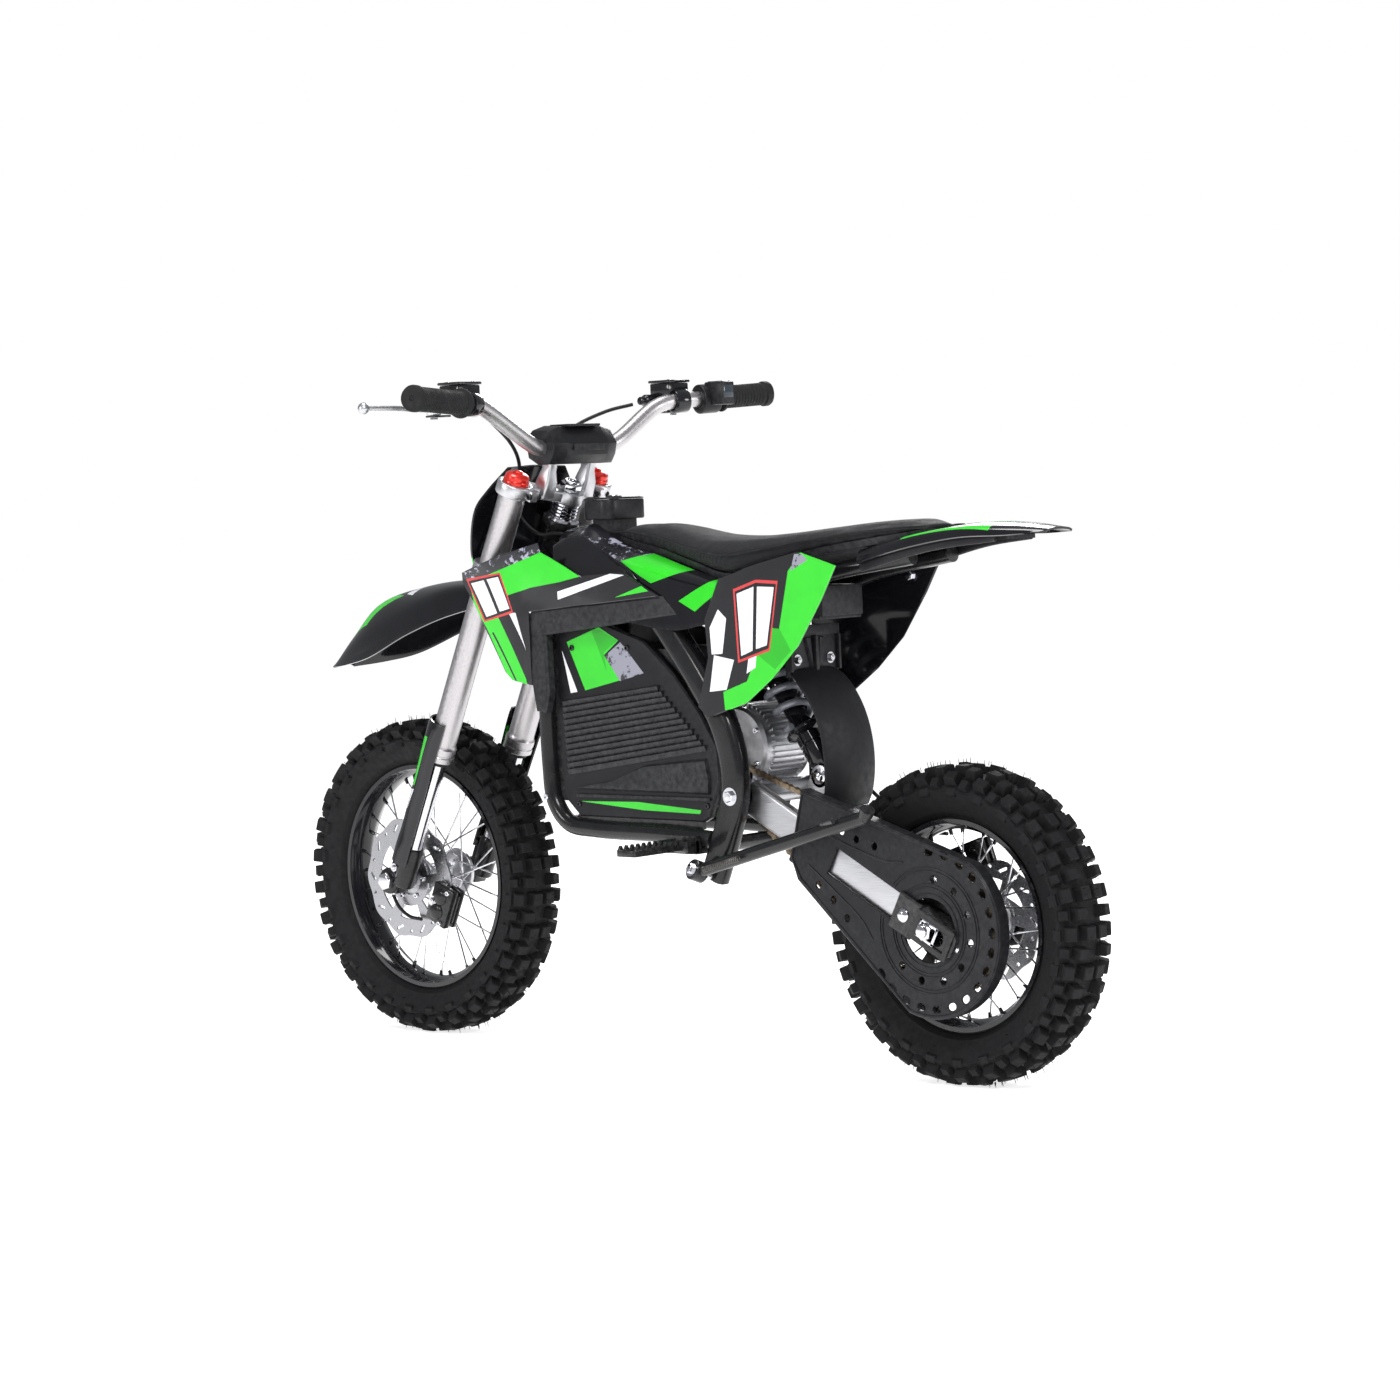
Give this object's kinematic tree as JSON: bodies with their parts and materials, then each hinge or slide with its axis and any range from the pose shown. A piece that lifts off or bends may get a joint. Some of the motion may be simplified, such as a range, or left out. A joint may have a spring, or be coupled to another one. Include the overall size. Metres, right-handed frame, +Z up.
{
  "type": "child-size electric dirt bike",
  "caption": "Child-size electric dirt bike with spoked knobby tyres, upside-down fork, sprung swingarm, chain drive and box-shaped battery bay.",
  "frame": {"origin": "on the ground, at the bottom centre of the bounding box", "axes": "+X forward, +Y to the rider's left, +Z up"},
  "size_m": [1.422, 0.7196, 0.9276],
  "materials": {
    "black_paint": "satin",
    "black_plastic": "matte",
    "gloss_black": "gloss",
    "green_plastic": "gloss",
    "silver": "cast",
    "satin": "satin",
    "chrome": "polished",
    "rubber": "matte",
    "tyre": "matte",
    "steel": "brushed",
    "seat_fabric": "textured",
    "spring_grey": "satin"
  },
  "bodies": {
    "frame": {"main_frame": "black_paint", "battery_pack": "black_plastic", "battery_cover_left": "black_plastic", "battery_cover_right": "black_plastic", "motor": "silver", "controller": "black_plastic", "shroud_left": "green_plastic", "shroud_right": "green_plastic", "tank_cover": "gloss_black", "switch_box": "black_plastic", "side_plate_left": "green_plastic", "side_plate_right": "green_plastic", "seat": "seat_fabric", "rear_fender": "green_plastic", "mud_guard": "black_plastic", "rear_brake_hose": "rubber"},
    "power_button": {"power_button": "chrome"},
    "steering": {"lower_clamp": "silver", "upper_clamp": "silver", "fork_tube_left": "satin", "fork_tube_right": "satin", "handlebar": "satin", "bar_pad": "black_plastic", "grip_left": "rubber", "brake_master_left": "black_paint", "brake_master_right": "black_paint", "throttle_housing": "black_plastic", "number_plate": "gloss_black", "front_fender": "gloss_black", "front_brake_hose": "rubber"},
    "brake_lever_left": {"brake_lever_left": "silver"},
    "brake_lever_right": {"brake_lever_right": "silver"},
    "throttle_grip": {"throttle_grip": "rubber"},
    "fork_slider": {"fork_leg_left": "chrome", "fork_leg_right": "chrome", "fork_guard_left": "black_plastic", "fork_guard_right": "black_plastic", "front_axle": "steel", "front_caliper": "black_paint"},
    "front_wheel": {"front_tyre": "tyre", "front_rim": "black_paint", "front_hub": "silver", "front_disc": "steel"},
    "swingarm": {"swingarm": "silver", "chain_cover": "black_plastic", "rear_axle": "steel", "rear_caliper": "black_paint", "chain": "steel"},
    "rear_wheel": {"rear_tyre": "tyre", "rear_rim": "black_paint", "rear_hub": "silver", "rear_sprocket": "steel", "rear_disc": "steel"},
    "drive_sprocket": {"drive_sprocket": "steel"},
    "shock_body": {"shock_body": "black_paint"},
    "shock_rod": {"shock_rod": "black_paint", "shock_spring": "spring_grey"},
    "side_stand": {"side_stand": "black_paint"},
    "footpeg_left": {"footpeg_left": "black_paint"},
    "footpeg_right": {"footpeg_right": "black_paint"}
  },
  "joints": [
    {"name": "steering_turn", "type": "hinge", "parent": "frame", "child": "steering", "pos_m": [0.2081, 0, 0.7052], "axis": [-0.4226, 0, 0.9063], "range_deg": [-38, 38], "deforming": ["rear_brake_hose"]},
    {"name": "fork_slide", "type": "slide", "parent": "steering", "child": "fork_slider", "axis": [-0.4226, 0, 0.9063], "range_m": [0, 0.085], "stiffness_N_per_m": 5000, "springref_m": -0.08, "deforming": ["front_brake_hose"]},
    {"name": "front_wheel_spin", "type": "hinge", "parent": "fork_slider", "child": "front_wheel", "pos_m": [0.484, 0, 0.227], "axis": [0, 1, 0], "continuous": true},
    {"name": "swingarm_pivot", "type": "hinge", "parent": "frame", "child": "swingarm", "pos_m": [-0.196, 0, 0.368], "axis": [0, 1, 0], "range_deg": [0, 18], "stiffness_Nm_per_rad": 250, "springref_deg": -34.38, "deforming": ["rear_brake_hose", "chain"]},
    {"name": "rear_wheel_spin", "type": "hinge", "parent": "swingarm", "child": "rear_wheel", "pos_m": [-0.506, 0, 0.205], "axis": [0, 1, 0], "continuous": true},
    {"name": "drive_sprocket_spin", "type": "hinge", "parent": "frame", "child": "drive_sprocket", "pos_m": [-0.16, 0, 0.39], "axis": [0, 1, 0], "continuous": true},
    {"name": "shock_swing", "type": "hinge", "parent": "frame", "child": "shock_body", "pos_m": [-0.129, 0, 0.61], "axis": [0, 1, 0], "range_deg": [0, 1.6]},
    {"name": "shock_slide", "type": "slide", "parent": "shock_body", "child": "shock_rod", "axis": [0.5784, 0, 0.8158], "range_m": [0, 0.03], "deforming": ["shock_spring"]},
    {"name": "brake_lever_left_pull", "type": "hinge", "parent": "steering", "child": "brake_lever_left", "pos_m": [0.192, 0.236, 0.892], "axis": [0, 0, 1], "range_deg": [0, 20], "stiffness_Nm_per_rad": 1.5, "springref_deg": -17.19},
    {"name": "brake_lever_right_pull", "type": "hinge", "parent": "steering", "child": "brake_lever_right", "pos_m": [0.192, -0.236, 0.892], "axis": [0, 0, -1], "range_deg": [0, 20], "stiffness_Nm_per_rad": 1.5, "springref_deg": -17.19},
    {"name": "throttle_twist", "type": "hinge", "parent": "steering", "child": "throttle_grip", "pos_m": [0.12535, -0.3, 0.90241], "axis": [-0.2716, -0.9611, 0.0507], "range_deg": [0, 65], "stiffness_Nm_per_rad": 0.3, "springref_deg": -22.92},
    {"name": "power_button_press", "type": "slide", "parent": "frame", "child": "power_button", "axis": [0, 0, -1], "range_m": [0, 0.002], "stiffness_N_per_m": 400, "springref_m": -0.002},
    {"name": "side_stand_fold", "type": "hinge", "parent": "frame", "child": "side_stand", "pos_m": [-0.15, 0.119, 0.27], "axis": [-0.1851, -0.9095, -0.3722], "range_deg": [0, 76]},
    {"name": "footpeg_left_fold", "type": "hinge", "parent": "frame", "child": "footpeg_left", "pos_m": [-0.108, 0.114, 0.3], "axis": [1, 0, 0], "range_deg": [0, 65], "stiffness_Nm_per_rad": 1, "springref_deg": -34.38},
    {"name": "footpeg_right_fold", "type": "hinge", "parent": "frame", "child": "footpeg_right", "pos_m": [-0.108, -0.114, 0.3], "axis": [-1, 0, 0], "range_deg": [0, 65], "stiffness_Nm_per_rad": 1, "springref_deg": -34.38}
  ],
  "couplings": [
    {"joint": "drive_sprocket_spin", "follows": "rear_wheel_spin", "ratio": 4.5},
    {"joint": "shock_swing", "follows": "swingarm_pivot", "ratio": 0.0806},
    {"joint": "shock_slide", "follows": "swingarm_pivot", "m_per_rad": 0.0888}
  ]
}
